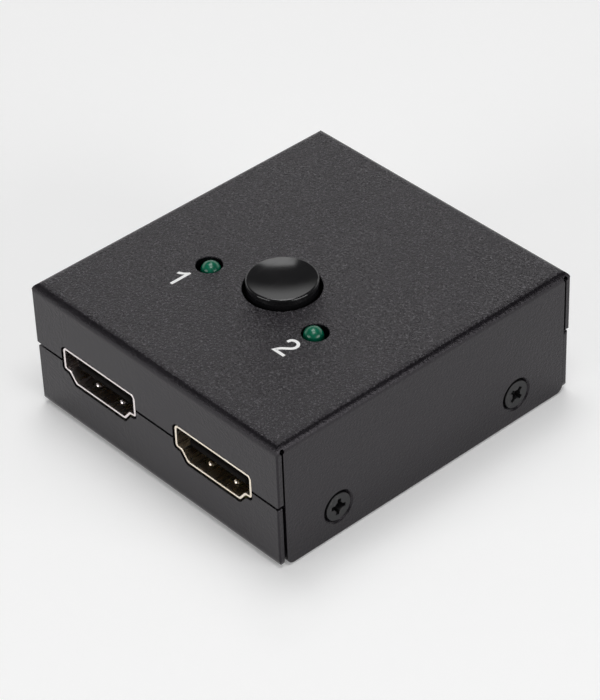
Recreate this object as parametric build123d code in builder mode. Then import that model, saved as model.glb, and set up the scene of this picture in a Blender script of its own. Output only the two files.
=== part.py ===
from build123d import *
import os
from math import asin, cos, degrees, dist, pi, radians, sin, sqrt

os.makedirs("parts", exist_ok=True)

# A small two-way video port switch in a folded sheet metal case. Sizes are in millimetres. X runs
# along the face with two sockets, Y from that face to the one with a single socket, Z is up, and
# the origin is at the centre of the underside.

# Case: a folded cover with full side panels over a folded tray. The end panels are split between them
body_width = 49.4
body_depth = 53.4
body_height = 20.4
sheet = 0.8
bend_inner = 0.6
split_gap = 0.4
split_above_port = 0.135
split_corner = 0.45
upright_round = 0.25
corner_gap = 0.3
nesting_gap = 0.05
side_lift = 0.28
side_corner = 1.1
relief_radius = 0.38
relief_below_top = 1.05
edge_round = 0.16
tray_end_inset = 0.25
tray_corner = 1.3
tray_side_height = 8.4
tray_corner_relief = 0.6

# Cover screws, countersunk, two in each side
cover_screw_thread = 2.5
cover_screw_head = 4.2
cover_screw_length = 5.0
cover_screw_rim = 0.43
cover_screw_height = 4.75
cover_screw_inset = 10.2
cross_span = 2.5
cross_slot = 0.62
cross_core = 1.5
cross_depth = 1.0
cross_taper = 10.0
dimple_width = 5.2
collar_width = 4.4
collar_length = 1.6
screw_clearance = 0.03
screw_turns = (-10.0, 45.0, 52.0, 71.0)

# Circuit board and what holds it
board_thickness = 1.6
board_side_gap = 0.45
board_end_gap = 0.6
board_corner = 1.0
notch_gap = 0.45
standoff_height = 4.9
standoff_width = 4.4
standoff_bore_depth = 4.0
standoff_side_inset = 5.7
standoff_front_inset = 16.7
standoff_rear_inset = 5.1
board_screw_thread = 2.5
board_screw_head = 4.5
board_screw_head_height = 1.6
board_screw_length = 5.0
board_hole_gap = 0.15

# Sockets, all three alike
port_spacing = 23.14
cutouts_centre = 0.15
port_shift = 0.15
port_drop = 0.2
port_clearance = 0.3
shell_width = 15.0
shell_height = 5.27
shell_foot_width = 10.4
shell_shoulder = 3.7
shell_step = 1.15
shell_step_drop = 0.1
shell_sheet = 0.35
shell_length = 10.9
shell_lift = 0.17
shell_top_round = 0.75
shell_shoulder_round = 0.45
shell_foot_round = 0.6
shell_rim_round = 0.08
leg_width = 1.2
leg_depths = (2.6, 6.0)
leg_below_board = 0.6
leg_slot_gap = 0.2
finger_spacing = 5.1
finger_width = 1.6
finger_length = 4.2
finger_slot = 0.3
finger_setback = 1.35
pip_radius = 0.5
pip_height = 0.4
pip_from_tip = 0.6

# Insulator and contacts inside each socket
insulator_fit = 0.04
insulator_length = 4.4
tongue_width = 11.2
tongue_thickness = 1.1
tongue_setback = 0.85
tongue_raise = 0.1
tongue_chamfer = 0.2
contact_pitch = 1.0
contact_width = 0.32
contact_thickness = 0.2
contact_proud = 0.05
contact_setback = 0.5
contact_counts = (10, 9)
tail_gap = 0.1
tail_foot = 0.75

# Latching push switch
switch_x = 0.0
switch_y = -3.2
switch_width = 8.5
switch_height = 8.6
switch_base_height = 1.0
switch_wall = 0.85
switch_roof = 0.8
carriage_gap = 0.2
carriage_width = 5.2
carriage_height = 4.4
stroke = 2.0
stop_gap = 0.05
stem_width = 3.0
stem_gap = 0.1
post_width = 1.8
post_height = 1.6
terminal_thickness = 0.3
terminal_width = 0.9
terminal_pitch = 2.5
terminal_low = 3.0
terminal_high = 4.6
pin_below_board = 0.8
pin_hole_gap = 0.15
slider_thickness = 0.2
slider_height = 1.5
slider_gap = 0.06

# Return spring
spring_wire = 0.35
spring_mean_width = 2.5
spring_turns = 5.5
spring_pocket_gap = 0.25
spring_pocket_depth = 3.2
spring_seat_gap = 0.03

# Latch pin and its spring plate
latch_wire = 0.5
latch_bend = 0.4
latch_swing = 0.7
latch_tip_height = 4.7
latch_hook_height = 0.5
latch_hook_reach = 1.0
track_depth = 0.5
track_gap = 0.09
track_width = 2.2
heart_width = 0.72
heart_height = 1.0
latch_plate_thickness = 0.2
latch_plate_width = 3.2
latch_plate_height = 6.4
latch_tab = 0.9

# Button cap
button_hole = 10.9
cap_width = 10.0
cap_rise = 1.4
cap_wall = 1.0
cap_roof = 1.0
cap_dish = 0.42
cap_edge_round = 0.28
cap_boss_width = 5.4
cap_fit = 0.02
cap_clearance = 0.15

# Indicator lamps beside the button, a little nearer together than their holes in the roof
lamp_hole_offset = 10.6
lamp_hole = 3.75
lamp_hole_shift = -0.075
lamp_spacing = 20.5
lamp_shift = -0.1
lamp_y = -6.95
lamp_rise = 0.62
lamp_width = 2.85
lamp_height = 5.2
lamp_flange_width = 3.6
lamp_flange_height = 1.0
lamp_lead = 0.5
lamp_lead_spacing = 2.54
lamp_lead_reach = 1.6
lamp_cup_width = 1.1
lamp_cup_height = 0.7
lamp_hole_gap = 0.12

# Small parts soldered to the board
chip_width = 5.0
chip_length = 9.0
chip_height = 0.85
chip_spacing = 19.0
chip_y = 5.0
regulator_width = 1.6
regulator_length = 2.9
regulator_height = 1.1
regulator_gap = 2.55
regulator_lead = 0.4
regulator_lead_reach = 0.6
regulator_lead_pitch = 0.95
small_length = 1.0
small_width = 0.8
resistor_height = 0.45
capacitor_height = 0.8
end_cap = 0.3
resistor_places = ((-15.2, -3.0, 0), (-15.2, -1.4, 0), (15.2, -3.0, 0), (15.2, -1.4, 0),
                   (-4.2, 4.4, 90), (4.2, 4.4, 90), (-15.8, 8.6, 90), (15.8, 8.6, 90))
capacitor_places = ((-4.6, 11.0, 90), (4.6, 11.0, 90), (-4.2, 7.4, 90), (4.2, 7.4, 90),
                    (-15.4, 4.0, 90), (15.4, 4.0, 90))

# Levels and places that follow from the sizes
bend_outer = bend_inner + sheet
board_top = sheet + standoff_height + board_thickness
board_under = board_top - board_thickness
board_width = body_width - 2 * (2 * sheet + nesting_gap + board_side_gap)
board_depth = body_depth - 2 * (sheet + board_end_gap)
port_height = board_top + shell_lift + shell_height / 2
ports_centre = cutouts_centre + port_shift
front_ports = (ports_centre - port_spacing / 2, ports_centre + port_spacing / 2)
split_height = port_height + split_above_port
cover_flange_end = split_height + split_gap / 2
tray_flange_end = split_height - split_gap / 2
tray_width = body_width - 2 * (sheet + nesting_gap)
tray_end_width = body_width - 2 * tray_end_inset
panel_reach = body_depth / 2 - sheet - corner_gap
screw_recess = (dimple_width - cover_screw_head) / 2 - cover_screw_rim - screw_clearance * sqrt(2)
screw_tip = body_width / 2 - screw_recess - cover_screw_length
screw_y = body_depth / 2 - cover_screw_inset
standoff_x = body_width / 2 - standoff_side_inset
standoff_places = [(x, y) for x in (-standoff_x, standoff_x)
                   for y in (-body_depth / 2 + standoff_front_inset, body_depth / 2 - standoff_rear_inset)]
base_top = board_top + switch_base_height
housing_top = board_top + switch_height
housing_cavity = switch_width - 2 * switch_wall
carriage_top = housing_top - switch_roof - stop_gap
carriage_bottom = carriage_top - carriage_height
carriage_depth = housing_cavity - 2 * carriage_gap
cap_top = body_height + cap_rise
cap_bottom = housing_top + latch_plate_thickness + stroke + cap_clearance
stem_top = cap_top - cap_dish - cap_roof
spring_pocket_top = carriage_bottom + spring_pocket_depth
spring_outer = spring_mean_width + spring_wire
terminal_x = housing_cavity / 2 - terminal_thickness / 2
slider_reach = housing_cavity / 2 - terminal_thickness - slider_gap
latch_tip_z = board_top + latch_tip_height
lamp_places = (lamp_shift - lamp_spacing / 2, lamp_shift + lamp_spacing / 2)
lamp_top = body_height + lamp_rise
lamp_foot = lamp_top - lamp_height
# the regulator's leads stand a gap away from the feet of the rear socket's contacts
rear_feet = body_depth / 2 - shell_length - tail_gap - tail_foot
regulator_y = rear_feet - regulator_gap - regulator_lead_reach - regulator_width / 2


def switch_level(height):
    """A level plane over the middle of the switch."""
    return Plane(origin=(switch_x, switch_y, height))


def side_places(reach, height):
    """Planes on both sides of the case, facing out, at the four cover screws."""
    return [Plane(origin=(side * reach, end * screw_y, height), x_dir=(0, side, 0), z_dir=(side, 0, 0))
            for side in (1, -1) for end in (-1, 1)]


# Outline of a socket: upright sides, then a small rounded step and a slope down to a narrower foot
half_width = shell_width / 2
half_height = shell_height / 2
shoulder = half_height - shell_shoulder
with BuildSketch() as shell_outline:
    with BuildLine():
        FilletPolyline(
            (-half_width, half_height),
            (half_width, half_height),
            (half_width, shoulder),
            (half_width - shell_step, shoulder - shell_step_drop),
            (shell_foot_width / 2, -half_height),
            (-shell_foot_width / 2, -half_height),
            (-half_width + shell_step, shoulder - shell_step_drop),
            (-half_width, shoulder),
            radius=[shell_top_round] * 2 + [shell_shoulder_round] + [shell_foot_round] * 4
            + [shell_shoulder_round],
            close=True,
        )
    make_face()

with BuildSketch() as shell_bore:
    add(shell_outline.sketch)
    offset(amount=-shell_sheet, mode=Mode.REPLACE)

with BuildSketch() as insulator_outline:
    add(shell_outline.sketch)
    offset(amount=-shell_sheet - insulator_fit, mode=Mode.REPLACE)

with BuildSketch() as port_cutout:
    add(shell_outline.sketch)
    offset(amount=port_clearance, mode=Mode.REPLACE)

cutout_height = port_height - port_drop
front_cutouts = [(x - port_shift, cutout_height) for x in front_ports]
rear_cutout = (ports_centre - port_shift, cutout_height)


# Top cover: roof, two full side panels, and the upper halves of the two end panels
with BuildPart() as top_cover:
    with BuildSketch(Plane.XY.offset(side_lift)):
        Rectangle(body_width, body_depth)
    extrude(amount=body_height - side_lift)
    fillet(top_cover.faces().sort_by(Axis.Z)[-1].edges(), bend_outer)
    with BuildSketch(Plane.XY.offset(side_lift)):
        Rectangle(body_width - 2 * sheet, body_depth - 2 * sheet)
    extrude(amount=body_height - sheet - side_lift, mode=Mode.SUBTRACT)
    fillet(top_cover.faces().filter_by(Axis.Z).sort_by(Axis.Z)[-2].edges(), bend_inner)
    # the end panels stop at the split, and the side panels stop short of them
    with BuildSketch(Plane.XY.offset(side_lift)):
        with GridLocations(body_width, 2 * panel_reach + sheet + corner_gap, 1, 2):
            Rectangle(body_width, sheet + corner_gap)
    extrude(amount=cover_flange_end - side_lift, mode=Mode.SUBTRACT)
    fillet(top_cover.edges().filter_by(Axis.X).group_by(Axis.Z)[0], side_corner)
    panel_feet = top_cover.edges().filter_by(Axis.Y).filter_by_position(
        Axis.Z, cover_flange_end - split_gap, cover_flange_end + split_gap
    )
    fillet(panel_feet.group_by(Axis.X)[0] + panel_feet.group_by(Axis.X)[-1], split_corner)
    with BuildSketch(Plane.XY.offset(side_lift)):
        Rectangle(body_width, body_depth)
        RectangleRounded(body_width, body_depth, upright_round, mode=Mode.SUBTRACT)
    extrude(amount=body_height - relief_below_top - side_lift, mode=Mode.SUBTRACT)
    with BuildSketch(Plane.XY.offset(cover_flange_end)):
        with GridLocations(body_width - sheet, 2 * panel_reach + corner_gap, 2, 2):
            Rectangle(sheet, corner_gap)
    extrude(amount=body_height - relief_below_top - cover_flange_end, mode=Mode.SUBTRACT)
    # corner relief holes at the ends of the side bends
    with BuildSketch(Plane.YZ.offset(-body_width / 2)):
        with Locations((0, body_height - relief_below_top)):
            with GridLocations(2 * panel_reach + corner_gap, 0, 2, 1):
                Circle(relief_radius)
    extrude(amount=bend_outer, mode=Mode.SUBTRACT)
    with BuildSketch(Plane.YZ.offset(body_width / 2)):
        with Locations((0, body_height - relief_below_top)):
            with GridLocations(2 * panel_reach + corner_gap, 0, 2, 1):
                Circle(relief_radius)
    extrude(amount=-bend_outer, mode=Mode.SUBTRACT)
    # socket cut-outs, screw dimples, and the holes for the button and the lamps
    with BuildSketch(Plane.XZ.offset(body_depth / 2)):
        with Locations(*front_cutouts):
            add(port_cutout.sketch)
    extrude(amount=-sheet, mode=Mode.SUBTRACT)
    with BuildSketch(Plane.XZ.offset(-body_depth / 2)):
        with Locations(rear_cutout):
            add(port_cutout.sketch)
    extrude(amount=sheet, mode=Mode.SUBTRACT)
    with Locations(*side_places(body_width / 2, cover_screw_height)):
        CounterSinkHole(cover_screw_thread / 2 + screw_clearance, dimple_width / 2, sheet,
                        counter_sink_angle=90)
    with BuildSketch(Plane.XY.offset(body_height)):
        with Locations((switch_x, switch_y)):
            Circle(button_hole / 2)
        with Locations(*[(lamp_hole_shift + side * lamp_hole_offset, lamp_y) for side in (-1, 1)]):
            Circle(lamp_hole / 2)
    extrude(amount=-sheet, mode=Mode.SUBTRACT)
    hole_rims = top_cover.edges().filter_by(GeomType.CIRCLE).group_by(Axis.Z)[-1]
    fillet(hole_rims, edge_round)
top_cover.part.label = "top_cover"
export_step(top_cover.part, "parts/top_cover.step")


# Bottom tray: floor, the lower halves of the end panels, and side flanges inside the cover's panels
with BuildSketch() as channel_inside:
    with Locations((0, sheet + tray_side_height / 2)):
        Rectangle(tray_width - 2 * sheet, tray_side_height)
    fillet(channel_inside.vertices().group_by(Axis.Y)[0], bend_inner)

with BuildPart() as bottom_tray:
    with BuildSketch(Plane.XY):
        Rectangle(tray_end_width, body_depth)
    extrude(amount=tray_flange_end)
    fillet(bottom_tray.edges().filter_by(Axis.X).group_by(Axis.Z)[0], bend_outer)
    with BuildSketch(Plane.XY.offset(sheet)):
        Rectangle(tray_end_width, body_depth - 2 * sheet)
    extrude(amount=tray_flange_end - sheet, mode=Mode.SUBTRACT)
    floor_inside = bottom_tray.faces().filter_by(Axis.Z).sort_by(Axis.Z)[1]
    fillet(floor_inside.edges().filter_by(Axis.X), bend_inner)
    fillet(bottom_tray.edges().filter_by(Axis.Y).group_by(Axis.Z)[-1], split_corner)
    # the end panels' lower corners and upright edges are rounded off
    with BuildSketch(Plane.XZ):
        with Locations((0, tray_corner / 2)):
            Rectangle(tray_end_width, tray_corner)
        with Locations((0, 2 * tray_corner)):
            RectangleRounded(tray_end_width, 4 * tray_corner, tray_corner, mode=Mode.SUBTRACT)
    extrude(amount=body_depth / 2, both=True, mode=Mode.SUBTRACT)
    with BuildSketch(Plane.XY):
        Rectangle(tray_end_width, body_depth)
        RectangleRounded(tray_end_width, body_depth, upright_round, mode=Mode.SUBTRACT)
    extrude(amount=tray_flange_end, mode=Mode.SUBTRACT)
    # the floor is cut back beside the end panels, and the side flanges fold up from it
    side_cut = sheet + nesting_gap + bend_outer
    with BuildSketch(Plane.XY):
        with Locations((body_width / 2 - side_cut / 2, 0), (-body_width / 2 + side_cut / 2, 0)):
            Rectangle(side_cut, body_depth - 2 * sheet)
    extrude(amount=tray_flange_end, mode=Mode.SUBTRACT)
    with BuildSketch(Plane.XZ) as side_channel:
        with Locations((0, tray_side_height / 2)):
            Rectangle(tray_width, tray_side_height)
        fillet(side_channel.vertices().group_by(Axis.Y)[0], bend_outer)
        add(channel_inside.sketch, mode=Mode.SUBTRACT)
    extrude(amount=body_depth / 2 - sheet - tray_corner_relief, both=True)
    # extruded collars that take the cover screws
    with BuildSketch(Plane.YZ.offset(tray_width / 2 - sheet)):
        with Locations((screw_y, cover_screw_height), (-screw_y, cover_screw_height)):
            Circle(collar_width / 2)
    extrude(amount=-collar_length)
    with BuildSketch(Plane.YZ.offset(sheet - tray_width / 2)):
        with Locations((screw_y, cover_screw_height), (-screw_y, cover_screw_height)):
            Circle(collar_width / 2)
    extrude(amount=collar_length)
    with Locations(*side_places(tray_width / 2, cover_screw_height)):
        CounterSinkHole(cover_screw_thread / 2 + screw_clearance, dimple_width / 2 - sheet - nesting_gap,
                        sheet + collar_length, counter_sink_angle=90)
    with BuildSketch(Plane.XZ.offset(body_depth / 2)):
        with Locations(*front_cutouts):
            add(port_cutout.sketch)
    extrude(amount=-sheet, mode=Mode.SUBTRACT)
    with BuildSketch(Plane.XZ.offset(-body_depth / 2)):
        with Locations(rear_cutout):
            add(port_cutout.sketch)
    extrude(amount=sheet, mode=Mode.SUBTRACT)
bottom_tray.part.label = "bottom_tray"
export_step(bottom_tray.part, "parts/bottom_tray.step")


# One countersunk cover screw, head up at the origin, with its cross recess
head_radius = cover_screw_head / 2
thread_radius = cover_screw_thread / 2
with BuildPart() as countersunk_screw:
    with BuildSketch(Plane.XZ):
        with BuildLine():
            Polyline(
                (0, 0),
                (head_radius, 0),
                (head_radius, -cover_screw_rim),
                (thread_radius, -cover_screw_rim - head_radius + thread_radius),
                (thread_radius, -cover_screw_length + thread_radius / 3),
                (thread_radius * 2 / 3, -cover_screw_length),
                (0, -cover_screw_length),
                close=True,
            )
        make_face()
    revolve(axis=Axis.Z)
    fillet(countersunk_screw.edges().group_by(Axis.Z)[-1], edge_round / 2)
    with BuildSketch(Plane.XY):
        Rectangle(cross_span, cross_slot)
        Rectangle(cross_slot, cross_span)
        Circle(cross_core / 2)
    extrude(amount=-cross_depth, taper=cross_taper, mode=Mode.SUBTRACT)

# The head's cone sits in the cover's dimple, whose cone is the same but for the clearance
with BuildPart() as cover_screws:
    for place, turn in zip(side_places(body_width / 2 - screw_recess, cover_screw_height), screw_turns):
        with Locations(Location(place) * Location((0, 0, 0), (0, 0, turn))):
            add(countersunk_screw.part)
cover_screws.part.label = "cover_screws"
export_step(cover_screws.part, "parts/cover_screws.step")


# Round standoffs fixed to the floor of the tray
with BuildPart() as board_standoffs:
    with BuildSketch(Plane.XY.offset(sheet)):
        with Locations(*standoff_places):
            Circle(standoff_width / 2)
    extrude(amount=standoff_height)
    with BuildSketch(Plane.XY.offset(board_under)):
        with Locations(*standoff_places):
            Circle(board_screw_thread / 2 + screw_clearance)
    extrude(amount=-standoff_bore_depth, mode=Mode.SUBTRACT)
board_standoffs.part.label = "board_standoffs"
export_step(board_standoffs.part, "parts/board_standoffs.step")

with BuildPart() as board_screws:
    with BuildSketch(Plane.XY.offset(board_top)):
        with Locations(*standoff_places):
            Circle(board_screw_head / 2)
    extrude(amount=board_screw_head_height)
    fillet(board_screws.edges().group_by(Axis.Z)[-1], board_screw_head_height / 2)
    with BuildSketch(Plane.XY.offset(board_top)):
        with Locations(*standoff_places):
            Circle(board_screw_thread / 2)
    extrude(amount=-board_screw_length)
    with BuildSketch(Plane.XY.offset(board_top + board_screw_head_height)):
        with Locations(*standoff_places):
            Rectangle(cross_span, cross_slot)
            Rectangle(cross_slot, cross_span)
            Circle(cross_core / 2)
    extrude(amount=-cross_depth, taper=cross_taper, mode=Mode.SUBTRACT)
board_screws.part.label = "board_screws"
export_step(board_screws.part, "parts/board_screws.step")


# Circuit board with notches round the cover screws, and a hole for each pin and leg
leg_x = half_width - shell_sheet / 2
leg_slots = [(port_x + side * leg_x, depth - body_depth / 2)
             for port_x in front_ports for side in (-1, 1) for depth in leg_depths]
leg_slots += [(ports_centre + side * leg_x, body_depth / 2 - depth)
              for side in (-1, 1) for depth in leg_depths]
terminal_places = [(switch_x + side * terminal_x, switch_y + row * terminal_pitch)
                   for side in (-1, 1) for row in (-1, 0, 1)]
lamp_holes = [(x + side * lamp_lead_spacing / 2, lamp_y) for x in lamp_places for side in (-1, 1)]
notch_depth = board_width / 2 - screw_tip + notch_gap
with BuildPart() as circuit_board:
    with BuildSketch(Plane.XY.offset(board_under)) as board_outline:
        Rectangle(board_width, board_depth)
        fillet(board_outline.vertices(), board_corner)
        with GridLocations(board_width - notch_depth, 2 * screw_y, 2, 2):
            Rectangle(notch_depth, collar_width + 2 * notch_gap, mode=Mode.SUBTRACT)
        with Locations(*standoff_places):
            Circle(board_screw_thread / 2 + board_hole_gap, mode=Mode.SUBTRACT)
        with Locations(*leg_slots):
            Rectangle(shell_sheet + 2 * leg_slot_gap, leg_width + 2 * leg_slot_gap, mode=Mode.SUBTRACT)
        with Locations(*terminal_places):
            Rectangle(terminal_thickness + 2 * pin_hole_gap, terminal_width + 2 * pin_hole_gap,
                      mode=Mode.SUBTRACT)
        with Locations(*lamp_holes):
            Circle(lamp_lead / sqrt(2) + lamp_hole_gap, mode=Mode.SUBTRACT)
    extrude(amount=board_thickness)
circuit_board.part.label = "circuit_board"
export_step(circuit_board.part, "parts/circuit_board.step")


# Socket shell, mouth at y = 0 and running towards +Y: a folded tube with spring fingers and four legs
finger_x = finger_spacing / 2
pip_sphere = (pip_radius ** 2 + pip_height ** 2) / (2 * pip_height)
pip_latitude = degrees(asin(1 - pip_height / pip_sphere))
with BuildPart() as shell_pattern:
    with BuildSketch(Plane.XZ):
        with Locations((0, port_height)):
            add(shell_outline.sketch)
            add(shell_bore.sketch, mode=Mode.SUBTRACT)
    extrude(amount=-shell_length)
    fillet(shell_pattern.faces().sort_by(Axis.Y)[0].edges(), shell_rim_round)
    leg_top = port_height + half_height - shell_shoulder / 2
    leg_bottom = board_under - leg_below_board
    with BuildSketch(Plane.XY.offset(leg_bottom)):
        with Locations(*[(side * leg_x, depth) for side in (-1, 1) for depth in leg_depths]):
            Rectangle(shell_sheet, leg_width)
    extrude(amount=leg_top - leg_bottom)
    # fingers stay joined at their inner end, and each has a round pip pressed into the bore
    with BuildSketch(Plane.XY.offset(port_height - half_height)):
        with Locations(*[(side * finger_x, finger_setback + finger_length / 2) for side in (-1, 1)]):
            Rectangle(finger_width + 2 * finger_slot, finger_length)
            with Locations((0, finger_slot / 2)):
                Rectangle(finger_width, finger_length - finger_slot, mode=Mode.SUBTRACT)
    extrude(amount=shell_sheet, mode=Mode.SUBTRACT)
    with BuildSketch(Plane.XY.offset(port_height + half_height)):
        with Locations(*[(side * finger_x, finger_setback + finger_length / 2) for side in (-1, 1)]):
            Rectangle(finger_width + 2 * finger_slot, finger_length)
            with Locations((0, finger_slot / 2)):
                Rectangle(finger_width, finger_length - finger_slot, mode=Mode.SUBTRACT)
    extrude(amount=-shell_sheet, mode=Mode.SUBTRACT)
    pip_y = finger_setback + pip_from_tip
    with Locations(*[(side * finger_x, pip_y, port_height - half_height + shell_sheet) for side in (-1, 1)]):
        Sphere(pip_sphere, arc_size1=pip_latitude, arc_size2=90,
               align=(Align.CENTER, Align.CENTER, Align.MIN))
    with Locations(*[(side * finger_x, pip_y, port_height + half_height - shell_sheet) for side in (-1, 1)]):
        Sphere(pip_sphere, arc_size1=pip_latitude, arc_size2=90, rotation=(180, 0, 0),
               align=(Align.CENTER, Align.CENTER, Align.MIN))

# Contacts: strips along both faces of the tongue, through the insulator, and down to the board
tongue_height = port_height + tongue_raise
upper_face = tongue_height + tongue_thickness / 2 + contact_proud
lower_face = tongue_height - tongue_thickness / 2 - contact_proud
contact_tip = tongue_setback + contact_setback
tail_front = shell_length + tail_gap
tail_back = tail_front + contact_thickness
with BuildPart() as contact_pattern:
    for count, level in zip(contact_counts, (upper_face - contact_thickness, lower_face)):
        for index in range(count):
            with BuildSketch(Plane.YZ.offset((index - (count - 1) / 2) * contact_pitch)):
                with BuildLine():
                    Polyline(
                        (contact_tip, level),
                        (tail_front, level),
                        (tail_front, board_top),
                        (tail_front + tail_foot, board_top),
                        (tail_front + tail_foot, board_top + contact_thickness),
                        (tail_back, board_top + contact_thickness),
                        (tail_back, level + contact_thickness),
                        (contact_tip, level + contact_thickness),
                        close=True,
                    )
                make_face()
            extrude(amount=contact_width / 2, both=True)

# Insulator: a block that fills the back of the shell, with the tongue that carries the contacts
with BuildPart() as insulator_pattern:
    with BuildSketch(Plane.XZ.offset(insulator_length - shell_length)):
        with Locations((0, port_height)):
            add(insulator_outline.sketch)
    extrude(amount=-insulator_length)
    with BuildSketch(Plane.XZ.offset(-tongue_setback)):
        with Locations((0, tongue_height)):
            Rectangle(tongue_width, tongue_thickness)
    extrude(amount=-(shell_length - insulator_length - tongue_setback))
    chamfer(insulator_pattern.faces().sort_by(Axis.Y)[0].edges(), tongue_chamfer)
    add(contact_pattern.part, mode=Mode.SUBTRACT)

port_places = {
    "port_1": Location((front_ports[0], -body_depth / 2, 0)),
    "port_2": Location((front_ports[1], -body_depth / 2, 0)),
    "common_port": Location((ports_centre, body_depth / 2, 0), (0, 0, 180)),
}
for port_name, port_place in port_places.items():
    with BuildPart() as port_shell:
        with Locations(port_place):
            add(shell_pattern.part)
    port_shell.part.label = f"{port_name}_shell"
    export_step(port_shell.part, f"parts/{port_name}_shell.step")
    with BuildPart() as port_insulator:
        with Locations(port_place):
            add(insulator_pattern.part)
    port_insulator.part.label = f"{port_name}_insulator"
    export_step(port_insulator.part, f"parts/{port_name}_insulator.step")
    with BuildPart() as port_contacts:
        with Locations(port_place):
            add(contact_pattern.part)
    port_contacts.part.label = f"{port_name}_contacts"
    export_step(port_contacts.part, f"parts/{port_name}_contacts.step")


# Switch base: the plate that stands on the board, with the spring's post and the latch pin's socket
hook_z = board_top + latch_hook_height
latch_y = -switch_width / 2 + latch_wire / 2
base_front = Plane(origin=(switch_x, switch_y - switch_width / 2, hook_z), x_dir=(1, 0, 0), z_dir=(0, -1, 0))
with BuildPart() as switch_base:
    with BuildSketch(switch_level(board_top)):
        Rectangle(switch_width, switch_width)
        with Locations(*[(x - switch_x, y - switch_y) for x, y in terminal_places]):
            Rectangle(terminal_thickness, terminal_width, mode=Mode.SUBTRACT)
    extrude(amount=switch_base_height)
    with BuildSketch(switch_level(base_top)):
        Circle(post_width / 2)
    extrude(amount=post_height)
    chamfer(switch_base.edges().group_by(Axis.Z)[-1], spring_pocket_gap)
    with BuildSketch(switch_level(board_top)):
        with Locations((0, latch_y)):
            Rectangle(latch_wire + 2 * track_gap, latch_wire + 2 * track_gap)
    extrude(amount=switch_base_height, mode=Mode.SUBTRACT)
    with BuildSketch(base_front):
        Circle(latch_wire / 2 + track_gap)
    extrude(amount=-latch_wire - latch_hook_reach, mode=Mode.SUBTRACT)
switch_base.part.label = "switch_base"
export_step(switch_base.part, "parts/switch_base.step")

# Switch housing: an open-bottomed box with a square hole for the stem and a window for the latch pin
window_top = latch_tip_z + latch_wire / 2 + 2 * track_gap
window_width = 2 * latch_swing + latch_wire + 4 * track_gap
with BuildPart() as switch_housing:
    with BuildSketch(switch_level(base_top)):
        Rectangle(switch_width, switch_width)
        Rectangle(housing_cavity, housing_cavity, mode=Mode.SUBTRACT)
    extrude(amount=housing_top - switch_roof - base_top)
    with BuildSketch(switch_level(housing_top - switch_roof)):
        Rectangle(switch_width, switch_width)
        Rectangle(stem_width + 2 * stem_gap, stem_width + 2 * stem_gap, mode=Mode.SUBTRACT)
    extrude(amount=switch_roof)
    with BuildSketch(switch_level(base_top)):
        with Locations((0, -switch_width / 2 + switch_wall / 2)):
            Rectangle(window_width, switch_wall)
    extrude(amount=window_top - base_top, mode=Mode.SUBTRACT)
switch_housing.part.label = "switch_housing"
export_step(switch_housing.part, "parts/switch_housing.step")

# Six terminals: pins through the board that run up the housing as contact strips. In each row of
# three the first is low, the middle one high, and the last is thinned up to a pad level with its top
pin_end = board_under - pin_below_board
with BuildPart() as switch_terminals:
    for side in (-1, 1):
        for row, top in ((-1, base_top + terminal_low), (0, base_top + terminal_high)):
            with BuildSketch(switch_level(pin_end)):
                with Locations((side * terminal_x, row * terminal_pitch)):
                    Rectangle(terminal_thickness, terminal_width)
            extrude(amount=top - pin_end)
        with BuildSketch(switch_level(pin_end)):
            with Locations((side * (terminal_x + terminal_thickness / 4), terminal_pitch)):
                Rectangle(terminal_thickness / 2, terminal_width)
        extrude(amount=base_top + terminal_high - pin_end)
        with BuildSketch(switch_level(base_top + terminal_low)):
            with Locations((side * terminal_x, terminal_pitch)):
                Rectangle(terminal_thickness, terminal_width)
        extrude(amount=terminal_high - terminal_low)
switch_terminals.part.label = "switch_terminals"
export_step(switch_terminals.part, "parts/switch_terminals.step")

# Plunger: a carriage that slides in the housing, with the square stem and the latch track in its front
track_top = latch_tip_z + latch_wire / 2 + track_gap + stroke
track_bottom = latch_tip_z - latch_wire / 2 - track_gap
heart_left = -latch_swing + latch_wire / 2 + track_gap
heart_middle = (track_top + track_bottom) / 2
carriage_face = (switch_x, switch_y - carriage_depth / 2, 0)
carriage_front = Plane(origin=carriage_face, x_dir=(1, 0, 0), z_dir=(0, -1, 0))
with BuildPart() as switch_plunger:
    with BuildSketch(switch_level(carriage_bottom)):
        Rectangle(carriage_width, carriage_depth)
    extrude(amount=carriage_height)
    with BuildSketch(switch_level(carriage_top)):
        Rectangle(stem_width, stem_width)
    extrude(amount=stem_top - carriage_top)
    with BuildSketch(switch_level(carriage_bottom)):
        Circle(spring_outer / 2 + spring_pocket_gap)
    extrude(amount=spring_pocket_depth, mode=Mode.SUBTRACT)
    # the track is a pocket round a heart-shaped island: down one side of it, and back up the other
    with BuildSketch(carriage_front):
        with Locations((0, heart_middle)):
            Rectangle(track_width, track_top - track_bottom)
        with BuildLine() as heart:
            Polyline(
                (heart_left, heart_middle + heart_height / 2),
                (heart_left + heart_width / 2, heart_middle + heart_height / 4),
                (heart_left + heart_width, heart_middle + heart_height / 2),
                (heart_left + heart_width, heart_middle),
                (heart_left + heart_width / 2, heart_middle - heart_height / 2),
                (heart_left, heart_middle),
                close=True,
            )
        make_face(heart.edges(), mode=Mode.SUBTRACT)
    extrude(amount=-track_depth, mode=Mode.SUBTRACT)
switch_plunger.part.label = "switch_plunger"
export_step(switch_plunger.part, "parts/switch_plunger.step")

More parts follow.
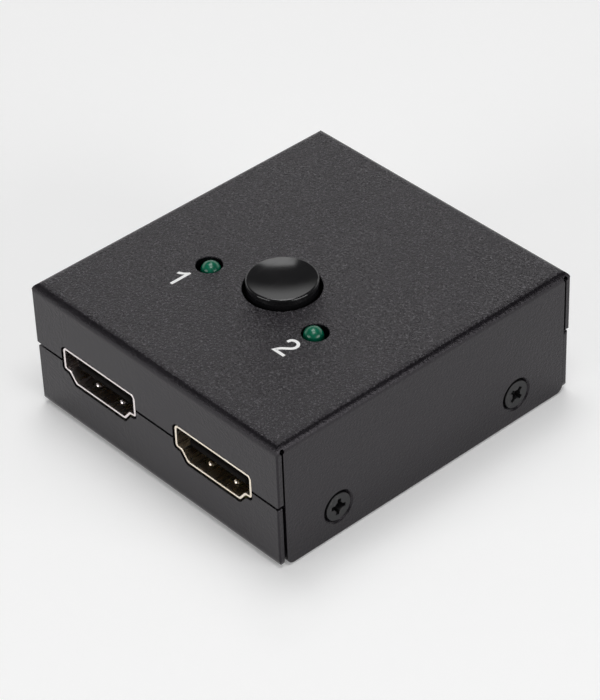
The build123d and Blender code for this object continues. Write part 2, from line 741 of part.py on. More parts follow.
# Two bridging contacts, one on each side of the carriage. Up, each joins the middle terminal to the
# pad, and pressed it joins the middle terminal to the low one
slider_face = carriage_width / 2
slider_middle = carriage_bottom + slider_height
with BuildPart() as switch_sliders:
    for side in (-1, 1):
        slider_origin = (switch_x, switch_y, slider_middle)
        carriage_side = Plane(origin=slider_origin, x_dir=(0, side, 0), z_dir=(side, 0, 0))
        with BuildSketch(carriage_side.offset(slider_face)):
            Rectangle(2 * terminal_pitch + terminal_width, slider_height)
        extrude(amount=slider_thickness)
        with BuildSketch(carriage_side.offset(slider_face + slider_thickness)):
            with GridLocations(terminal_pitch, 0, 3, 1):
                Circle(terminal_width / 2)
        extrude(amount=slider_reach - slider_face - slider_thickness)
switch_sliders.part.label = "switch_sliders"
export_step(switch_sliders.part, "parts/switch_sliders.step")


def turn_point(turn):
    """A point of the spring's centre line and its direction there, by the angle turned from the foot."""
    radius = spring_mean_width / 2
    angle = 2 * pi * turn
    climb = (spring_run_top - spring_run_bottom) / spring_turns
    point = Vector(switch_x + radius * cos(angle), switch_y + radius * sin(angle), spring_run_bottom)
    heading = Vector(-2 * pi * radius * sin(angle), 2 * pi * radius * cos(angle), climb).normalized()
    return point + Vector(0, 0, climb * turn), heading


# Return spring: an open coil from the base to the top of the carriage's pocket. Each half turn is
# two arcs that share their direction where they meet.
spring_run_bottom = base_top + spring_wire / 2 + spring_seat_gap
spring_run_top = spring_pocket_top - spring_wire / 2 - spring_seat_gap
with BuildPart() as switch_spring:
    with BuildLine() as spring_path:
        for half_turn in range(round(2 * spring_turns)):
            start, start_heading = turn_point(half_turn / 2)
            end, end_heading = turn_point((half_turn + 1) / 2)
            across = end - start
            closing = 2 * (1 - start_heading.dot(end_heading))
            along = across.dot(start_heading + end_heading)
            reach = (sqrt(along ** 2 + closing * across.dot(across)) - along) / closing
            joint = (start + end) * 0.5 + (start_heading - end_heading) * (reach / 2)
            first_arc = TangentArc(start, joint, tangent=start_heading)
            TangentArc(joint, end, tangent=first_arc % 1)
    with BuildSketch(Plane(origin=spring_path.line @ 0, z_dir=spring_path.line % 0)):
        Circle(spring_wire / 2)
    sweep()
switch_spring.part.label = "switch_spring"
export_step(switch_spring.part, "parts/switch_spring.step")

samples = 480
spring_points = [tuple(spring_path.line @ (i / samples)) for i in range(samples + 1)]
half_turn_samples = int(samples / spring_turns / 2)
least_gap = min(dist(spring_points[i], spring_points[j]) for i in range(samples + 1)
                for j in range(i + half_turn_samples, samples + 1)) - spring_wire
print(f"least gap between the spring's turns {least_gap:.2f} mm")

# Latch pin: a wire staple, hooked into the base, whose upper end rides in the plunger's track
tip_y = -carriage_depth / 2 + track_depth - track_gap
with BuildPart() as switch_latch_pin:
    with BuildLine() as latch_path:
        FilletPolyline(
            (switch_x, switch_y + latch_y + latch_hook_reach, hook_z),
            (switch_x, switch_y + latch_y, hook_z),
            (switch_x - latch_swing, switch_y + latch_y, latch_tip_z),
            (switch_x - latch_swing, switch_y + tip_y, latch_tip_z),
            radius=latch_bend,
        )
    with BuildSketch(Plane(origin=latch_path.line @ 0, z_dir=latch_path.line % 0)):
        Circle(latch_wire / 2)
    sweep()
switch_latch_pin.part.label = "switch_latch_pin"
export_step(switch_latch_pin.part, "parts/switch_latch_pin.step")

# Latch plate: a leaf on the front of the housing that keeps the pin in its track, hooked over the roof
plate_front = -switch_width / 2 - latch_plate_thickness
with BuildPart() as switch_latch_plate:
    with BuildSketch(switch_level(housing_top + latch_plate_thickness - latch_plate_height)):
        with Locations((0, -switch_width / 2 - latch_plate_thickness / 2)):
            Rectangle(latch_plate_width, latch_plate_thickness)
    extrude(amount=latch_plate_height)
    with BuildSketch(switch_level(housing_top)):
        with Locations((0, plate_front + (latch_plate_thickness + latch_tab) / 2)):
            Rectangle(latch_plate_width, latch_plate_thickness + latch_tab)
    extrude(amount=latch_plate_thickness)
switch_latch_plate.part.label = "switch_latch_plate"
export_step(switch_latch_plate.part, "parts/switch_latch_plate.step")


# Button cap: a round cap with a shallow dish, pressed over the stem
cap_radius = cap_width / 2
dish_radius = cap_radius - cap_edge_round
dish_sphere = (dish_radius ** 2 + cap_dish ** 2) / (2 * cap_dish)
with BuildPart() as button_cap:
    with BuildSketch(switch_level(cap_bottom)):
        Circle(cap_radius)
    extrude(amount=cap_top - cap_bottom)
    with BuildSketch(switch_level(cap_bottom)):
        Circle(cap_radius - cap_wall)
        Circle(cap_boss_width / 2, mode=Mode.SUBTRACT)
    extrude(amount=stem_top - cap_bottom, mode=Mode.SUBTRACT)
    with BuildSketch(switch_level(cap_bottom)):
        Rectangle(stem_width + 2 * cap_fit, stem_width + 2 * cap_fit)
    extrude(amount=stem_top - cap_bottom, mode=Mode.SUBTRACT)
    fillet(button_cap.edges().filter_by(GeomType.CIRCLE).group_by(Axis.Z)[-1], cap_edge_round)
    with Locations((switch_x, switch_y, cap_top - cap_dish + dish_sphere)):
        Sphere(dish_sphere, mode=Mode.SUBTRACT)
button_cap.part.label = "button_cap"
export_step(button_cap.part, "parts/button_cap.step")


# Indicator lamps: a domed lens with a flange, moulded round two leads that stand in the board
lamp_radius = lamp_width / 2
for number, lamp_x in enumerate(lamp_places, start=1):
    with BuildPart() as lamp_leads:
        with BuildSketch(Plane.XY.offset(board_under - pin_below_board)):
            with Locations(*[(lamp_x + side * lamp_lead_spacing / 2, lamp_y) for side in (-1, 1)]):
                Rectangle(lamp_lead, lamp_lead)
        extrude(amount=lamp_foot + lamp_lead_reach - board_under + pin_below_board)
        # the cup that holds the chip stands on one lead and leans over the middle
        with BuildSketch(Plane.XY.offset(lamp_foot + lamp_lead_reach)):
            with Locations((lamp_x - lamp_lead_spacing / 2 + lamp_cup_width / 2 - lamp_lead / 4, lamp_y)):
                Rectangle(lamp_cup_width, lamp_lead)
        extrude(amount=lamp_cup_height)
    lamp_leads.part.label = f"lamp_{number}_leads"
    export_step(lamp_leads.part, f"parts/lamp_{number}_leads.step")
    with BuildPart() as lamp_lens:
        with BuildSketch(Plane(origin=(lamp_x, lamp_y, lamp_foot), x_dir=(1, 0, 0), z_dir=(0, -1, 0))):
            with BuildLine():
                flange = Polyline(
                    (0, 0),
                    (lamp_flange_width / 2, 0),
                    (lamp_flange_width / 2, lamp_flange_height),
                    (lamp_radius, lamp_flange_height),
                    (lamp_radius, lamp_height - lamp_radius),
                )
                dome = RadiusArc(flange @ 1, (0, lamp_height), -lamp_radius)
                Line(dome @ 1, (0, 0))
            make_face()
        revolve(axis=Axis((lamp_x, lamp_y, 0), (0, 0, 1)))
        add(lamp_leads.part, mode=Mode.SUBTRACT)
    lamp_lens.part.label = f"lamp_{number}_lens"
    export_step(lamp_lens.part, f"parts/lamp_{number}_lens.step")


# Two signal switching chips and the regulator that feeds them
with BuildPart() as switching_chips:
    with BuildSketch(Plane.XY.offset(board_top)):
        with Locations((-chip_spacing / 2, chip_y), (chip_spacing / 2, chip_y)):
            Rectangle(chip_width, chip_length)
    extrude(amount=chip_height)
    chamfer(switching_chips.faces().group_by(Axis.Z)[-1].edges(), edge_round)
switching_chips.part.label = "switching_chips"
export_step(switching_chips.part, "parts/switching_chips.step")

with BuildPart() as voltage_regulator:
    with BuildSketch(Plane.XY.offset(board_top + regulator_lead / 2)):
        with Locations((switch_x, regulator_y)):
            Rectangle(regulator_length, regulator_width)
    extrude(amount=regulator_height)
    chamfer(voltage_regulator.faces().group_by(Axis.Z)[-1].edges(), edge_round)
voltage_regulator.part.label = "voltage_regulator"
export_step(voltage_regulator.part, "parts/voltage_regulator.step")

with BuildPart() as regulator_leads:
    for side, count in ((-1, 3), (1, 2)):
        for index in range(count):
            lead_x = switch_x + (index - (count - 1) / 2) * regulator_lead_pitch * 2 / (count - 1)
            with BuildSketch(Plane.XY.offset(board_top)):
                with Locations((lead_x, regulator_y + side * (regulator_width + regulator_lead_reach) / 2)):
                    Rectangle(regulator_lead, regulator_lead_reach)
            extrude(amount=regulator_lead)
regulator_leads.part.label = "regulator_leads"
export_step(regulator_leads.part, "parts/regulator_leads.step")


def along_parts(places, offsets):
    """Locations at the given offsets along each small part, turned as the part is."""
    return [Location((x + along * cos(radians(turn)), y + along * sin(radians(turn)), 0), (0, 0, turn))
            for x, y, turn in places for along in offsets]


with BuildPart() as chip_resistors:
    with BuildSketch(Plane.XY.offset(board_top)):
        with Locations(*along_parts(resistor_places, (0,))):
            Rectangle(small_length, small_width)
    extrude(amount=resistor_height)
chip_resistors.part.label = "chip_resistors"
export_step(chip_resistors.part, "parts/chip_resistors.step")

with BuildPart() as chip_capacitors:
    with BuildSketch(Plane.XY.offset(board_top)):
        with Locations(*along_parts(capacitor_places, (0,))):
            Rectangle(small_length, small_width)
    extrude(amount=capacitor_height)
chip_capacitors.part.label = "chip_capacitors"
export_step(chip_capacitors.part, "parts/chip_capacitors.step")

end_offsets = (-(small_length + end_cap) / 2, (small_length + end_cap) / 2)
with BuildPart() as end_caps:
    with BuildSketch(Plane.XY.offset(board_top)):
        with Locations(*along_parts(resistor_places, end_offsets)):
            Rectangle(end_cap, small_width)
    extrude(amount=resistor_height)
    with BuildSketch(Plane.XY.offset(board_top)):
        with Locations(*along_parts(capacitor_places, end_offsets)):
            Rectangle(end_cap, small_width)
    extrude(amount=capacitor_height)
end_caps.part.label = "end_caps"
export_step(end_caps.part, "parts/end_caps.step")
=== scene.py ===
"""Looks of a small two-way video port switch: a folded black metal case with two sockets in front,
one behind, a push button and two green lamps. Lengths are in metres, in the case's own frame: X along
the front, Y to the back, Z up, and the origin under the middle of the floor."""
import math

import bmesh
import bpy
import numpy as np
from mathutils import Matrix, Vector


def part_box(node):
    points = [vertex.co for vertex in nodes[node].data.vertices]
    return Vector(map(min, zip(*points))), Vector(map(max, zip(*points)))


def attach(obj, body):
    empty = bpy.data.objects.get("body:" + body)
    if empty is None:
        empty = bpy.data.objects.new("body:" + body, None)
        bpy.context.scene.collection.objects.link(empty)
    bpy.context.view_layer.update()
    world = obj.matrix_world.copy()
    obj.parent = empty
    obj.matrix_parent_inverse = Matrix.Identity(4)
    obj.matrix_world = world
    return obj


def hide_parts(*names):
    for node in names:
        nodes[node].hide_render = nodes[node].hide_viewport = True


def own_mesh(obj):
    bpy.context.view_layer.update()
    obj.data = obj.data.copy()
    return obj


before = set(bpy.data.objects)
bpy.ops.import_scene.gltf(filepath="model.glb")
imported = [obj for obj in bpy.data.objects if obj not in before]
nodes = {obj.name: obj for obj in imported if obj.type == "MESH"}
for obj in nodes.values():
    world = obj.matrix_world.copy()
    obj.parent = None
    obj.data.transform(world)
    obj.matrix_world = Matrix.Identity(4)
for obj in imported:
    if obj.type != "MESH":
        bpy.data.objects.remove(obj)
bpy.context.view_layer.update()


# Case: a folded cover over a folded tray, 0.8 mm steel. Both are sprayed with black powder that is
# baked to a fine pebbled skin with a few pale specks. The specks are partly real grains and partly painted
# glints, and they are painted mostly on the upward faces, so the top is painted lighter. The front has a
# short scratch near each end.
class Flow:
    """An output in a material's nodes. Arithmetic on it adds Math nodes, and node() adds any other."""

    def __init__(self, tree, socket=None):
        self.tree = tree
        self.socket = socket

    def node(self, kind, settings=None, inputs=None, output=0):
        """Adds a node of this kind: its settings first, then the values or links of its sockets."""
        added = self.tree.nodes.new("ShaderNode" + kind)
        for name, value in (settings or {}).items():
            setattr(added, name, value)
        for name, value in (inputs or {}).items():
            if isinstance(value, Flow):
                self.tree.links.new(value.socket, added.inputs[name])
            else:
                added.inputs[name].default_value = value
        return Flow(self.tree, added.outputs[output] if added.outputs else None)

    def maths(self, operation, *values):
        return self.node("Math", {"operation": operation}, dict(enumerate(values)))

    def __add__(self, other):
        return self.maths("ADD", self, other)

    def __radd__(self, other):
        return self.maths("ADD", other, self)

    def __sub__(self, other):
        return self.maths("SUBTRACT", self, other)

    def __rsub__(self, other):
        return self.maths("SUBTRACT", other, self)

    def __mul__(self, other):
        return self.maths("MULTIPLY", self, other)

    def __rmul__(self, other):
        return self.maths("MULTIPLY", other, self)

    def largest(self, other):
        return self.maths("MAXIMUM", self, other)

    def smallest(self, other):
        return self.maths("MINIMUM", self, other)

    def between(self, low, high):
        """0 below low, 1 above high, and a smooth rise from one to the other."""
        return self.node("MapRange", {"interpolation_type": "SMOOTHSTEP"},
                         {"Value": self, "From Min": low, "From Max": high})

    def place(self, axis):
        """The X, Y or Z of the point on the piece, as axis 0, 1 or 2."""
        return self.node("SeparateXYZ", inputs={0: self.node("TexCoord", output="Object")}, output=axis)

    def facing(self, axis):
        """The X, Y or Z of the surface's outward direction, from -1 to 1."""
        return self.node("SeparateXYZ", inputs={0: self.node("NewGeometry", output="Normal")}, output=axis)

    def noise(self, size, detail=2.0, stretch=(1.0, 1.0, 1.0)):
        """Noise about 0.5 whose blotches are about this size, in metres, on the piece's own coordinates."""
        place = self.node("Mapping", inputs={"Vector": self.node("TexCoord", output="Object"),
                                             "Scale": stretch})
        return self.node("TexNoise", inputs={"Vector": place, "Scale": 1 / size, "Detail": detail})

    def reach(self, other):
        """The distance to a point this far along one way and the other far square to it."""
        return (self * self + other * other).maths("SQRT")

    def blend(self, factor, first, second):
        """The first colour where the factor is 0 and the second where it is 1."""
        return self.node("Mix", {"data_type": "RGBA"}, {0: factor, 6: first, 7: second}, 2)

    def bump(self, height, depth, strength=1.0):
        """A normal tilted by the height, 0 to 1, of a relief this deep in metres."""
        return self.node("Bump", inputs={"Height": height, "Distance": depth, "Strength": strength})


def new_material(name):
    """An empty node material, and the Flow that adds nodes to it."""
    material = bpy.data.materials.new(name)
    material.use_nodes = True
    material.node_tree.nodes.clear()
    return material, Flow(material.node_tree)


def surface(flow, **inputs):
    """Ends the material in a Principled shader with these sockets, named with _ for a space."""
    sockets = {key.replace("_", " "): value for key, value in inputs.items()}
    flow.node("OutputMaterial", inputs={"Surface": flow.node("BsdfPrincipled", inputs=sockets)})


def coat(material, *names):
    """Gives the material to these nodes of the frame."""
    for name in names:
        nodes[name].data.materials.clear()
        nodes[name].data.materials.append(material)


def scratch(flow, start, end, width):
    """1 on a straight scratch in the front and 0 beside it: the distance from the point to the nearest
    point of the line from start to end, given as X and Z, against half the width. That point lies at the
    share of the line where the line is square to the way to it."""
    across, up = flow.place(0) - start[0], flow.place(2) - start[1]
    run, rise = end[0] - start[0], end[1] - start[1]
    squared = run**2 + rise**2
    share = (across * (run / squared) + up * (rise / squared)).largest(0.0).smallest(1.0)
    distance = (across - share * run).reach(up - share * rise)
    return 1 - distance.between(width * 0.25, width * 0.6)


powder, flow = new_material("black_powder_coat")
pebbles = flow.noise(0.0004, 3.0)
grit = flow.noise(0.00016, 2.0)
cloud = flow.noise(0.012, 3.0).between(0.3, 0.7)
upward = flow.facing(2).between(0.8, 0.98)
# Pale specks: partly real grains, partly painted glints, painted mostly on upward faces so the top is
# lighter.
grains_and_glints = grit.between(0.52, 0.66) * pebbles.between(0.42, 0.56) * (0.1 + 0.9 * upward)
front = 1 - flow.facing(1).between(-0.9, -0.6)
long_scratch = scratch(flow, (-0.02318, 0.01878), (-0.02244, 0.01848), 0.00014)
faint_end = scratch(flow, (-0.02244, 0.01848), (-0.02127, 0.01795), 0.0001) * 0.35
nick = scratch(flow, (0.01206, 0.01816), (0.01307, 0.01797), 0.00016) * 0.3
scuffs = long_scratch.largest(faint_end).largest(nick) * front
dark_powder, worn_powder = (0.0048, 0.004, 0.0053, 1), (0.0068, 0.0058, 0.0075, 1)
pale_grain_and_glint, bared_steel = (0.13, 0.126, 0.134, 1), (0.4, 0.39, 0.41, 1)
shade = flow.blend(cloud, dark_powder, worn_powder)
# Painted glints: the pale specks are blended over the powder, mostly on the upward faces.
shade = flow.blend(grains_and_glints, shade, pale_grain_and_glint)
shade = flow.blend(scuffs, shade, bared_steel)
relief = pebbles * (0.2 + 0.8 * upward) + grit * (0.15 + 0.45 * upward)
surface(flow, Base_Color=shade, Roughness=0.2 + 0.05 * cloud + 0.14 * pebbles * upward,
        Specular_IOR_Level=0.36, Specular_Tint=(0.99, 0.93, 1.0, 1), Normal=flow.bump(relief, 0.00024, 0.9))
coat(powder, "top_cover", "bottom_tray")


# Board standoffs and their screws: turned and headed steel with a bright zinc plate, one under each
# corner of the board, riveted to the floor of the tray.
zinc, flow = new_material("bright_zinc_plate")
streak = flow.noise(0.0012, 3.0, (1.0, 1.0, 6.0))
bloom = flow.noise(0.0025)
surface(flow, Base_Color=flow.blend(bloom.between(0.35, 0.7), (0.56, 0.57, 0.57, 1), (0.68, 0.67, 0.62, 1)),
        Metallic=1.0, Roughness=0.24 + 0.2 * streak, Normal=flow.bump(streak, 0.00001, 0.4))
coat(zinc, "board_standoffs", "board_screws")


# Circuit board: glass laminate, 1.6 mm, under a green solder mask. Copper runs and pads show through
# the mask as paler green, and its sawn edge is bare amber laminate.
laminate, flow = new_material("green_solder_mask")
edge = 1 - flow.facing(2).maths("ABSOLUTE").between(0.4, 0.6)
white, black = (1, 1, 1, 1), (0, 0, 0, 1)
tracks = flow.node("TexBrick", {"offset": 0.37},
                   {"Vector": flow.node("TexCoord", output="Object"), "Scale": 260.0, "Mortar Size": 0.07,
                    "Brick Width": 1.4, "Row Height": 0.33, "Color1": white, "Color2": white,
                    "Mortar": black})
weave = flow.noise(0.0006, 2.0, (1.0, 1.0, 0.2))
copper_green, amber = (0.016, 0.15, 0.06, 1), (0.34, 0.25, 0.09, 1)
mask_green = flow.blend(weave.between(0.3, 0.7), (0.006, 0.062, 0.024, 1), (0.008, 0.08, 0.032, 1))
mask_green = flow.blend(tracks, mask_green, copper_green)
surface(flow, Base_Color=flow.blend(edge, mask_green, amber), Roughness=0.22 + 0.4 * edge,
        Normal=flow.bump(tracks, 0.00003, 0.4))
coat(laminate, "circuit_board")


# Sockets: each has a shell stamped from thin steel and gold plated, folded round a black insulator
# with a tongue, and nineteen gold-plated contacts along the tongue's faces. Two spring fingers in the
# shell's floor, one on each side of its middle, end in a pip.
mouth = -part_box("port_1_shell")[0].y
port_level = 0.010105
pip_side, pip_depth, pip_reach = 0.00255, 0.00195, 0.00062
# Near white for the pips' painted highlights.
pip_highlight_cream = (1.0, 0.97, 0.9, 1)


def gold_plate(port, pale, rich):
    """Flash gold for one shell, from a pale to a rich tint where it has worn. Its rim and outside are
    bright. The inside, where the surface faces the shell's middle line, is painted dark brown, dull and
    barely metallic as painted shade of the socket's depth. The two spring fingers' pips are painted near
    white as painted highlights."""
    low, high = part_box(port + "_shell")
    middle = (low.x + high.x) / 2
    material, flow = new_material(port + "_gold_plate")
    drawn = flow.noise(0.0009, 3.0, (1.0, 0.15, 1.0))
    wear = flow.noise(0.0035, 3.0).between(0.35, 0.75)
    depth = mouth - flow.place(1).maths("ABSOLUTE")
    inward = (flow.place(0) - middle) * flow.facing(0) + (flow.place(2) - port_level) * flow.facing(2)
    # Painted shade: past the mouth, faces turned to the shell's middle line are painted dark brown and
    # dull.
    inner_shade = (1 - inward.between(-0.0003, 0.0)) * depth.between(0.0001, 0.0005)
    to_side = (flow.place(0) - middle).maths("ABSOLUTE") - pip_side
    # Painted highlights: a round mask over each spring finger's pip, painted near white.
    pip_highlights = 1 - to_side.reach(depth - pip_depth).between(pip_reach * 0.8, pip_reach)
    # The dark brown of the painted shade inside the shell.
    inner_shade_brown = flow.blend(drawn, (0.004, 0.002, 0.0008, 1), (0.012, 0.006, 0.002, 1))
    colour = flow.blend(inner_shade, flow.blend(wear, pale, rich), inner_shade_brown)
    surface(flow, Base_Color=flow.blend(inner_shade * pip_highlights, colour, pip_highlight_cream),
            Metallic=1 - inner_shade * (1 - 0.35 * pip_highlights), Roughness=0.2 + 0.14 * drawn + 0.3 * inner_shade,
            Specular_IOR_Level=0.03, Normal=flow.bump(drawn, 0.00001, 0.3))
    coat(material, port + "_shell")


gold_plate("port_1", (0.9, 0.84, 0.83, 1), (0.84, 0.76, 0.74, 1))
gold_plate("port_2", (0.94, 0.87, 0.76, 1), (0.9, 0.78, 0.62, 1))
gold_plate("common_port", (0.92, 0.85, 0.76, 1), (0.87, 0.77, 0.66, 1))

nylon, flow = new_material("black_moulded_nylon")
moulded = flow.noise(0.0004, 3.0)
surface(flow, Base_Color=flow.blend(moulded, (0.003, 0.0025, 0.0022, 1), (0.006, 0.005, 0.0045, 1)),
        Roughness=0.6 + 0.2 * moulded, Specular_IOR_Level=0.05, Normal=flow.bump(moulded, 0.00002, 0.4))
coat(nylon, "port_1_insulator", "port_2_insulator", "common_port_insulator", "switch_base",
     "switch_housing")

contact, flow = new_material("contact_gold")
rolled = flow.noise(0.0005, 2.0, (1.0, 0.1, 1.0))
surface(flow, Base_Color=flow.blend(rolled, (0.78, 0.55, 0.22, 1), (0.9, 0.68, 0.34, 1)), Metallic=1.0,
        Roughness=0.2 + 0.15 * rolled)
coat(contact, "port_1_contacts", "port_2_contacts", "common_port_contacts", "switch_sliders")


# Latching push switch: a white acetal plunger in the black housing, six tinned terminals, a latch pin
# of drawn steel wire, a plated leaf that keeps the pin in its track, and a return spring.
acetal, flow = new_material("white_acetal")
flowed = flow.noise(0.0015, 3.0)
surface(flow, Base_Color=flow.blend(flowed, (0.74, 0.73, 0.69, 1), (0.82, 0.81, 0.77, 1)),
        Roughness=0.32 + 0.15 * flowed, Normal=flow.bump(flow.noise(0.0003), 0.00001, 0.3))
coat(acetal, "switch_plunger")

tin, flow = new_material("bright_tin")
dull = flow.noise(0.0006, 3.0)
surface(flow, Base_Color=flow.blend(dull, (0.6, 0.6, 0.59, 1), (0.76, 0.75, 0.72, 1)), Metallic=1.0,
        Roughness=0.2 + 0.3 * dull, Normal=flow.bump(dull, 0.00001, 0.5))
coat(tin, "switch_terminals", "lamp_1_leads", "lamp_2_leads", "regulator_leads", "end_caps")

wire, flow = new_material("drawn_steel_wire")
die_marks = flow.noise(0.0003, 2.0)
surface(flow, Base_Color=flow.blend(die_marks, (0.4, 0.4, 0.4, 1), (0.58, 0.58, 0.57, 1)), Metallic=1.0,
        Roughness=0.26 + 0.16 * die_marks)
coat(wire, "switch_spring", "switch_latch_pin", "switch_latch_plate")

merge_reach = 0.000001
spring_mesh = nodes["switch_spring"].data.copy()
coil = bmesh.new()
coil.from_mesh(spring_mesh)
bmesh.ops.remove_doubles(coil, verts=coil.verts, dist=merge_reach)
coil.to_mesh(spring_mesh)
coil.free()
spring = bpy.data.objects.new("return_spring", spring_mesh)
bpy.context.scene.collection.objects.link(spring)
bpy.context.view_layer.update()
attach(spring, "case")
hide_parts("switch_spring")
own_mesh(spring)


# Chips, resistors and capacitors: moulded epoxy with a matt, faintly pitted skin, a black glaze over
# white ceramic, and bare tan ceramic.
epoxy, flow = new_material("chip_epoxy")
pits = flow.noise(0.00012, 2.0)
surface(flow, Base_Color=flow.blend(pits, (0.02, 0.02, 0.021, 1), (0.035, 0.035, 0.036, 1)),
        Roughness=0.55 + 0.2 * pits, Normal=flow.bump(pits, 0.00001, 0.6))
coat(epoxy, "switching_chips", "voltage_regulator")

glaze, flow = new_material("resistor_glaze")
drops = flow.noise(0.0004, 2.0)
surface(flow, Base_Color=flow.blend(drops, (0.016, 0.016, 0.018, 1), (0.03, 0.03, 0.032, 1)),
        Roughness=0.25 + 0.2 * drops)
coat(glaze, "chip_resistors")

ceramic, flow = new_material("tan_ceramic")
fired = flow.noise(0.0003, 3.0)
surface(flow, Base_Color=flow.blend(fired, (0.42, 0.3, 0.18, 1), (0.56, 0.43, 0.29, 1)),
        Roughness=0.5 + 0.2 * fired)
coat(ceramic, "chip_capacitors")


# Lamps: domed lenses of dark green epoxy, moulded round their leads. The dye is a little uneven, and
# the moulded skin is slightly hazed, which softens what it mirrors.
lens, flow = new_material("green_epoxy")
swirl = flow.noise(0.0009, 2.0)
surface(flow, Base_Color=flow.blend(swirl.between(0.3, 0.7), (0.0, 0.095, 0.05, 1), (0.0, 0.13, 0.07, 1)),
        Roughness=0.2 + 0.06 * swirl, IOR=1.52)
coat(lens, "lamp_1_lens", "lamp_2_lens")


# Cover screws: countersunk, black oxide over steel with a film of oil, rubbed a little brighter in
# patches by the driver.
oxide, flow = new_material("black_oxide")
rubbed = flow.noise(0.0005, 3.0)
oiled, rubbed_steel = (0.012, 0.012, 0.013, 1), (0.045, 0.043, 0.042, 1)
surface(flow, Base_Color=flow.blend(rubbed.between(0.55, 0.75), oiled, rubbed_steel), Metallic=0.3,
         Roughness=0.3 + 0.2 * rubbed, Normal=flow.bump(rubbed, 0.00002, 0.4))
coat(oxide, "cover_screws")


# Button cap: polished black moulding with a dished top, pressed over the plunger's stem. The polish
# is slightly uneven, with a few fine hairlines from fingers.
gloss, flow = new_material("polished_black_moulding")
orange_peel = flow.noise(0.0022, 1.0)
hairlines = flow.noise(0.0004, 2.0, (1.0, 0.05, 1.0)).between(0.6, 0.7)
surface(flow, Base_Color=flow.blend(orange_peel, (0.005, 0.005, 0.0055, 1), (0.008, 0.0078, 0.0085, 1)),
        Roughness=0.09 + 0.05 * orange_peel + 0.04 * hairlines, IOR=1.5,
        Normal=flow.bump(orange_peel, 0.00001, 0.3))
coat(gloss, "button_cap")


# Numbers beside the lamps: white ink screened on the cover, a few hundredths of a millimetre thick,
# with square ends whose corners the mesh has rounded.
white_ink, flow = new_material("white_screen_ink")
mesh_marks = flow.noise(0.00015, 2.0)
surface(flow, Base_Color=flow.blend(mesh_marks, (0.9, 0.9, 0.9, 1), (0.98, 0.98, 0.97, 1)),
        Roughness=0.45 + 0.15 * mesh_marks, Normal=flow.bump(mesh_marks, 0.00001, 0.5))
ink_rise = 0.00002
ink_sunk = 0.00001
stroke = 0.00047
end_share = 0.7
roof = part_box("top_cover")[1].z


def ink(name, left, right):
    """A closed slab ruled between the two edges of a stroke, point for point: a level top just over the
    cover, a level foot just inside it, and upright sides round the rim."""
    count = len(left)
    flat = np.concatenate([left, right])
    levels = np.repeat([roof + ink_rise, roof - ink_sunk], 2 * count)[:, None]
    step = np.arange(count - 1)
    lid = np.column_stack([step, step + count, step + count + 1, step + 1])
    rim = np.concatenate([np.arange(count), np.arange(2 * count - 1, count - 1, -1)])
    following = np.roll(rim, -1)
    sides = np.column_stack([rim, following, following + 2 * count, rim + 2 * count])
    mesh = bpy.data.meshes.new(name)
    mesh.from_pydata(np.hstack([np.tile(flat, (2, 1)), levels]).tolist(), [],
                     np.concatenate([lid, lid[:, ::-1] + 2 * count, sides]).tolist())
    mesh.materials.append(white_ink)
    piece = bpy.data.objects.new(name, mesh)
    bpy.context.scene.collection.objects.link(piece)
    bpy.context.view_layer.update()
    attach(piece, "case")


def smooth_line(points, steps):
    """A line through the points. Between two of them it is the cubic whose slope at each is half the
    step from the point before to the point after."""
    points = np.array(points)
    points = np.concatenate([2 * points[:1] - points[1:2], points, 2 * points[-1:] - points[-2:-1]])
    before, start, end, after = (points[k:len(points) - 3 + k, None] for k in range(4))
    share = np.linspace(0, 1, steps, endpoint=False)[:, None]
    line = start + 0.5 * ((end - before) * share + (2 * before - 5 * start + 4 * end - after) * share**2
                          + (3 * start - before - 3 * end + after) * share**3)
    return np.concatenate([line.reshape(-1, 2), points[-2:-1]])


def stroke_edges(line):
    """The two edges of a stroke along the line. Each point moves sideways along the mean of the normals
    of its two runs, by half the stroke's width over the cosine of half the turn. The two ends keep only
    a share of that width, which rounds their corners."""
    run = np.diff(line, axis=0)
    square = run[:, ::-1] * (-1, 1) / np.linalg.norm(run, axis=1, keepdims=True)
    mean = np.concatenate([square[:1], square[:-1] + square[1:], square[-1:]])
    mean /= np.linalg.norm(mean, axis=1, keepdims=True)
    cosine = (mean * np.concatenate([square, square[-1:]])).sum(1, keepdims=True)
    half = np.full((len(line), 1), stroke / 2)
    half[[0, -1]] *= end_share
    return line + mean * half / cosine, line - mean * half / cosine


ink("number_1",
    [(-0.01236, -0.01097), (-0.01233, -0.01088), (-0.01170, -0.01056), (-0.01135, -0.01022),
     (-0.01117, -0.00998), (-0.01090, -0.00998), (-0.01083, -0.01006), (-0.01083, -0.01338),
     (-0.01087, -0.01344)],
    [(-0.01234, -0.01133), (-0.01230, -0.01136), (-0.01185, -0.01118), (-0.01158, -0.01100),
     (-0.01133, -0.01078), (-0.01132, -0.01077), (-0.01131, -0.01079), (-0.01131, -0.01338),
     (-0.01127, -0.01344)])
hook = smooth_line([(0.00940, -0.01084), (0.00953, -0.01034), (0.01002, -0.01006), (0.01062, -0.01010),
                    (0.01102, -0.01047), (0.01110, -0.01097), (0.01089, -0.01145), (0.01045, -0.01186),
                    (0.00996, -0.01230), (0.00966, -0.01266), (0.00951, -0.01298)], 5)
foot = [(0.00942, -0.01319), (0.01128, -0.01319), (0.01134, -0.01319)]
ink("number_2", *stroke_edges(np.concatenate([[(0.00939, -0.01090)], hook, foot])))


# Stand: a plain white floor under soft studio light. Two large soft boxes, one high behind and one
# nearly overhead, light the floor. A narrow box low behind shows in the roof and the button, and one on
# each side of the camera shows in the lenses. The room is dark but for a backdrop low behind the case.
def shown(flow):
    """1 for what the camera sees straight, in a reflection or through glass, and 0 for light that falls."""
    seen = "Is Camera Ray", "Is Glossy Ray", "Is Transmission Ray"
    rays = [flow.node("LightPath", output=name) for name in seen]
    return rays[0].largest(rays[1]).largest(rays[2])


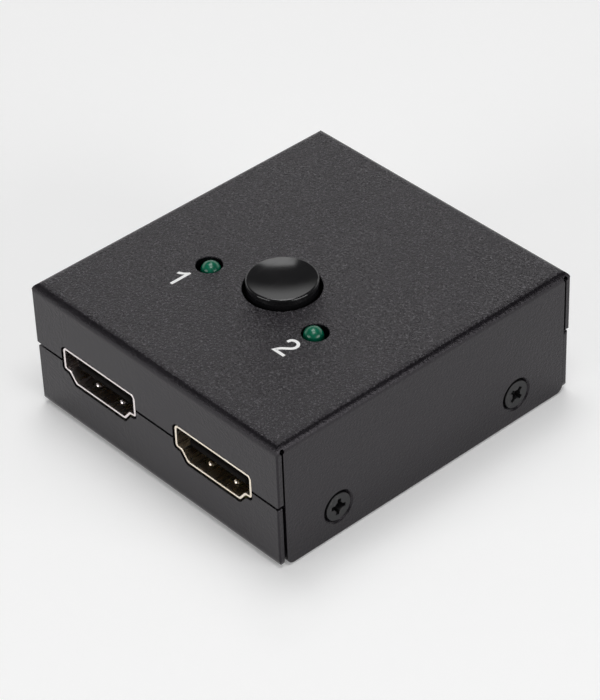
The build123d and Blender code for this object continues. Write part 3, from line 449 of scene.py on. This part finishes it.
paper, flow = new_material("white_paper")
fibres = flow.noise(0.002, 2.0)
fibre_white = flow.blend(fibres, (0.88, 0.88, 0.88, 1), (0.9, 0.9, 0.9, 1))
lit = flow.node("BsdfPrincipled", inputs={"Base Color": fibre_white, "Roughness": 0.8})
glow = flow.node("Emission", inputs={"Color": white, "Strength": 0.16 * shown(flow)})
flow.node("OutputMaterial", inputs={"Surface": flow.node("AddShader", inputs={0: lit, 1: glow})})
half_floor = 3.0
floor_corners = [(x * half_floor, y * half_floor, 0) for x, y in ((-1, -1), (1, -1), (1, 1), (-1, 1))]
floor_mesh = bpy.data.meshes.new("floor")
floor_mesh.from_pydata(floor_corners, [], [(0, 1, 2, 3)])
floor_mesh.materials.append(paper)
floor = bpy.data.objects.new("floor", floor_mesh)
bpy.context.scene.collection.objects.link(floor)

ambient = 0.12
world = bpy.data.worlds.new("studio")
world.use_nodes = True
world.node_tree.nodes.clear()
bpy.context.scene.world = world
flow = Flow(world.node_tree)
look = flow.node("TexCoord", output="Generated")
right, rear, above = (flow.node("SeparateXYZ", inputs={0: look}, output=axis) for axis in range(3))
behind = (0.66 * rear - 0.75 * right).between(0.0, 0.6)
backdrop = 0.1 + 0.9 * behind * (1 - above.between(0.38, 0.56))
brightness = ambient + (backdrop - ambient) * shown(flow)
sky = flow.node("Background", inputs={"Color": white, "Strength": brightness})
flow.node("OutputWorld", inputs={"Surface": sky})

target = Vector((0, 0, 0.012))


def toward(azimuth, elevation):
    """The direction from the case to a place this many degrees round from the front and up."""
    around, above = math.radians(azimuth), math.radians(elevation)
    flat = math.cos(above)
    return Vector((math.sin(around) * flat, -math.cos(around) * flat, math.sin(above)))


def soft_box(name, azimuth, elevation, distance, width, height, radiance):
    """A rectangular light that faces the case, of this brightness where white paper in full light is 1.
    Its power is the brightness times pi times its area."""
    lamp = bpy.data.lights.new(name, "AREA")
    lamp.shape = "RECTANGLE"
    lamp.size, lamp.size_y = width, height
    lamp.energy = radiance * math.pi * width * height
    placed = bpy.data.objects.new(name, lamp)
    way = toward(azimuth, elevation)
    turned = way.to_track_quat("Z", "Y").to_matrix().to_4x4()
    placed.matrix_world = Matrix.Translation(target + way * distance) @ turned
    bpy.context.scene.collection.objects.link(placed)


soft_box("rear_box", 235, 76, 0.8, 0.36, 0.3, 6.0)
soft_box("rear_strip", 226, 55, 0.8, 0.2, 0.14, 3.0)
soft_box("overhead_box", 66, 73, 0.8, 0.36, 0.24, 6.0)
soft_box("left_box", -8, 12, 0.65, 0.44, 0.32, 3.4)
soft_box("right_box", 101, 14, 0.65, 0.44, 0.32, 3.6)

camera_place = (0.2442, -0.2135, 0.2611)
camera_azimuth, camera_elevation = 48.911, 37.982
roll = math.radians(-2.305)
camera = bpy.data.cameras.new("camera")
camera.lens = 154.41
camera.sensor_width = 36.0
camera.clip_start, camera.clip_end = 0.01, 20.0
back = toward(camera_azimuth, camera_elevation)
level = Vector((0, 0, 1)).cross(back).normalized()
plumb = back.cross(level)
sideways = math.cos(roll) * level + math.sin(roll) * plumb
upright = math.cos(roll) * plumb - math.sin(roll) * level
stand = bpy.data.objects.new("camera", camera)
turned = Matrix((sideways, upright, back)).transposed().to_4x4()
stand.matrix_world = Matrix.Translation(camera_place) @ turned
bpy.context.scene.collection.objects.link(stand)
bpy.context.scene.camera = stand
bpy.context.scene.view_settings.view_transform = "Standard"
